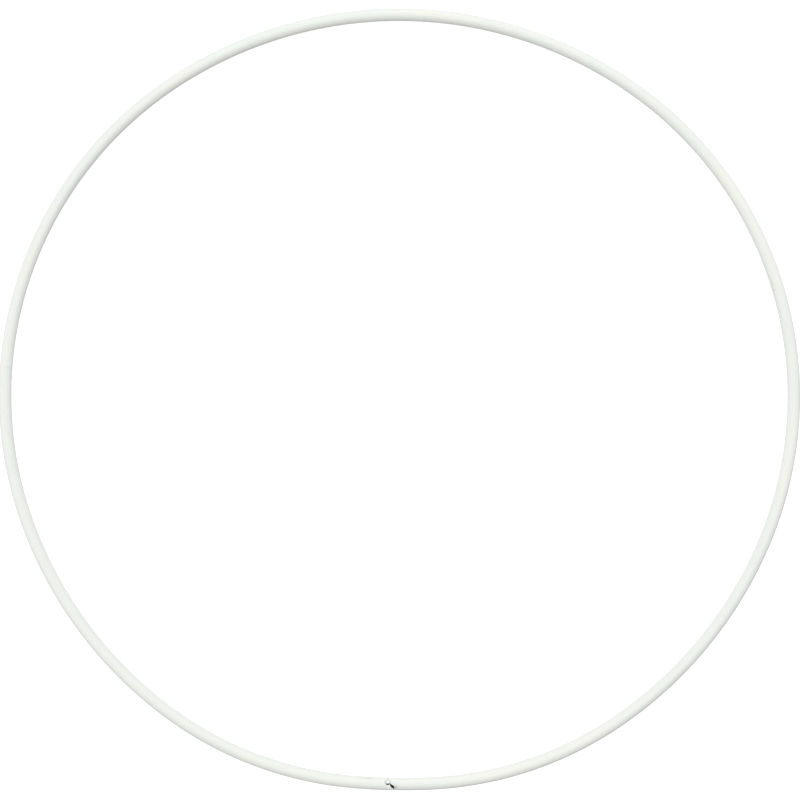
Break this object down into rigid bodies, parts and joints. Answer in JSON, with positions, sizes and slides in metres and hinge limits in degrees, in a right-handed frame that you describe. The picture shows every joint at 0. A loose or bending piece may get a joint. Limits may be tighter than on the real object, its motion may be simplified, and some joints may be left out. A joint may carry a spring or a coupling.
{
  "type": "rhythmic hoop",
  "caption": "Plain round-tube gymnastics hoop: one plastic tube bent into a ring, its slanted ends joined over a curved inner plug and held by a domed pin.",
  "frame": {"origin": "centre of the hoop, on the mid-plane of its tube", "axes": "+Z is the hoop's axis, square to the plane that it lies in, on the side of the pin's head; +X is along its longest width; the joint is at -Y"},
  "size_m": [0.888, 0.8664, 0.0142],
  "materials": {
    "white_plastic": "smooth gloss, extruded",
    "black_plastic": "matt, as moulded",
    "plated_steel": "bright nickel plate"
  },
  "bodies": {
    "root": {"hoop_tube": "white_plastic", "joint_plug": "black_plastic", "joint_pin": "plated_steel"}
  },
  "joints": []
}
